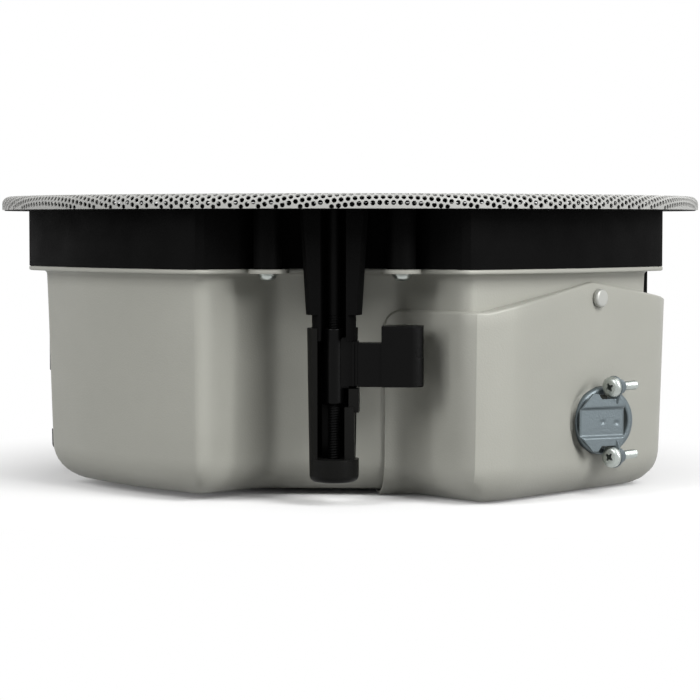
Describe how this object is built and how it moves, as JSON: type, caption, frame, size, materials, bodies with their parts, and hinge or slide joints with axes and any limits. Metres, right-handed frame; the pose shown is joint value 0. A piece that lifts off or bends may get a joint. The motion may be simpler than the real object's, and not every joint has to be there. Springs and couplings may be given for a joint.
{
  "type": "ceiling speaker",
  "caption": "Low-profile ceiling speaker with a lobed grey steel back can, swing-out clamps in its recesses, a side wiring box and a white perforated grille.",
  "frame": {"origin": "on the speaker's axis in the plane of the rim's underside, which meets the ceiling", "axes": "+Z along the axis, out through the grille; clamp 1 stands at -Y; the wiring box is at +X, -Y"},
  "size_m": [0.3, 0.3, 0.121],
  "materials": {
    "grille_steel": "satin",
    "grille_cloth": "matte",
    "magnets": "gloss",
    "frame_plastic": "matte",
    "guide_plastic": "matte",
    "arm_plastic": "satin",
    "black_steel": "satin",
    "can_paint": "satin",
    "zinc_steel": "satin",
    "foam_rubber": "matte",
    "rivet_paint": "satin",
    "connector_zinc": "satin",
    "terminal_plastic": "satin",
    "basket_paint": "satin",
    "cone_pulp": "matte",
    "spider_cloth": "matte",
    "former_paper": "matte",
    "copper_wire": "satin",
    "motor_steel": "satin",
    "ferrite": "matte",
    "post_steel": "satin",
    "housing_plastic": "satin",
    "dome_silk": "satin",
    "screw_black": "satin",
    "board_glassfibre": "satin",
    "capacitor_film": "gloss",
    "resistor_ceramic": "matte"
  },
  "bodies": {
    "speaker": {"grille": "grille_steel", "grille_cloth": "grille_cloth", "grille_magnets": "magnets", "baffle_frame": "frame_plastic", "clamp_guide_1": "guide_plastic", "clamp_guide_2": "guide_plastic", "clamp_guide_3": "guide_plastic", "clamp_guide_4": "guide_plastic", "back_can": "can_paint", "can_screws": "zinc_steel", "can_gasket": "foam_rubber", "wiring_box": "can_paint", "box_rivet": "rivet_paint", "cable_connector": "connector_zinc", "connector_locknut": "zinc_steel", "clamp_strap": "connector_zinc", "strap_screws": "zinc_steel", "terminal_block": "terminal_plastic", "woofer_basket": "basket_paint", "woofer_gasket": "foam_rubber", "woofer_surround": "foam_rubber", "woofer_spider": "spider_cloth", "top_plate": "motor_steel", "ring_magnet": "ferrite", "back_plate": "motor_steel", "tweeter_post": "post_steel", "tweeter_housing": "housing_plastic", "tweeter_dome": "dome_silk", "tweeter_magnet": "motor_steel", "woofer_screws": "screw_black", "crossover_board": "board_glassfibre", "board_spacers": "zinc_steel", "crossover_coils": "copper_wire", "crossover_capacitors": "capacitor_film", "crossover_resistors": "resistor_ceramic", "transformer_core": "motor_steel", "transformer_coil": "copper_wire", "transformer_bracket": "zinc_steel", "tap_switch": "housing_plastic"},
    "arm_1": {"clamp_arm_1": "arm_plastic"},
    "screw_1": {"clamp_screw_1": "black_steel"},
    "arm_2": {"clamp_arm_2": "arm_plastic"},
    "screw_2": {"clamp_screw_2": "black_steel"},
    "arm_3": {"clamp_arm_3": "arm_plastic"},
    "screw_3": {"clamp_screw_3": "black_steel"},
    "arm_4": {"clamp_arm_4": "arm_plastic"},
    "screw_4": {"clamp_screw_4": "black_steel"},
    "cone": {"woofer_cone": "cone_pulp", "voice_coil_former": "former_paper", "voice_coil_winding": "copper_wire"},
    "tap": {"tap_knob": "housing_plastic"}
  },
  "joints": [
    {"name": "clamp_1_swing", "type": "hinge", "parent": "speaker", "child": "arm_1", "pos_m": [0, -0.122, -0.06], "axis": [0, 0, -1], "range_deg": [0, 90]},
    {"name": "clamp_1_screw_turn", "type": "hinge", "parent": "speaker", "child": "screw_1", "pos_m": [0, -0.122, 0], "axis": [0, 0, 1], "continuous": true},
    {"name": "clamp_2_swing", "type": "hinge", "parent": "speaker", "child": "arm_2", "pos_m": [0.122, 0, -0.06], "axis": [0, 0, -1], "range_deg": [0, 90]},
    {"name": "clamp_2_screw_turn", "type": "hinge", "parent": "speaker", "child": "screw_2", "pos_m": [0.122, 0, 0], "axis": [0, 0, 1], "continuous": true},
    {"name": "clamp_3_swing", "type": "hinge", "parent": "speaker", "child": "arm_3", "pos_m": [0, 0.122, -0.06], "axis": [0, 0, -1], "range_deg": [0, 90]},
    {"name": "clamp_3_screw_turn", "type": "hinge", "parent": "speaker", "child": "screw_3", "pos_m": [0, 0.122, 0], "axis": [0, 0, 1], "continuous": true},
    {"name": "clamp_4_swing", "type": "hinge", "parent": "speaker", "child": "arm_4", "pos_m": [-0.122, 0, -0.06], "axis": [0, 0, -1], "range_deg": [0, 90]},
    {"name": "clamp_4_screw_turn", "type": "hinge", "parent": "speaker", "child": "screw_4", "pos_m": [-0.122, 0, 0], "axis": [0, 0, 1], "continuous": true},
    {"name": "cone_travel", "type": "slide", "parent": "speaker", "child": "cone", "axis": [0, 0, 1], "range_m": [-0.003, 0.003], "stiffness_N_per_m": 1500, "deforming": ["woofer_surround", "woofer_spider"]},
    {"name": "tap_turn", "type": "hinge", "parent": "speaker", "child": "tap", "pos_m": [-0.0792, 0.0792, 0], "axis": [0, 0, 1], "range_deg": [-135, 135]}
  ]
}
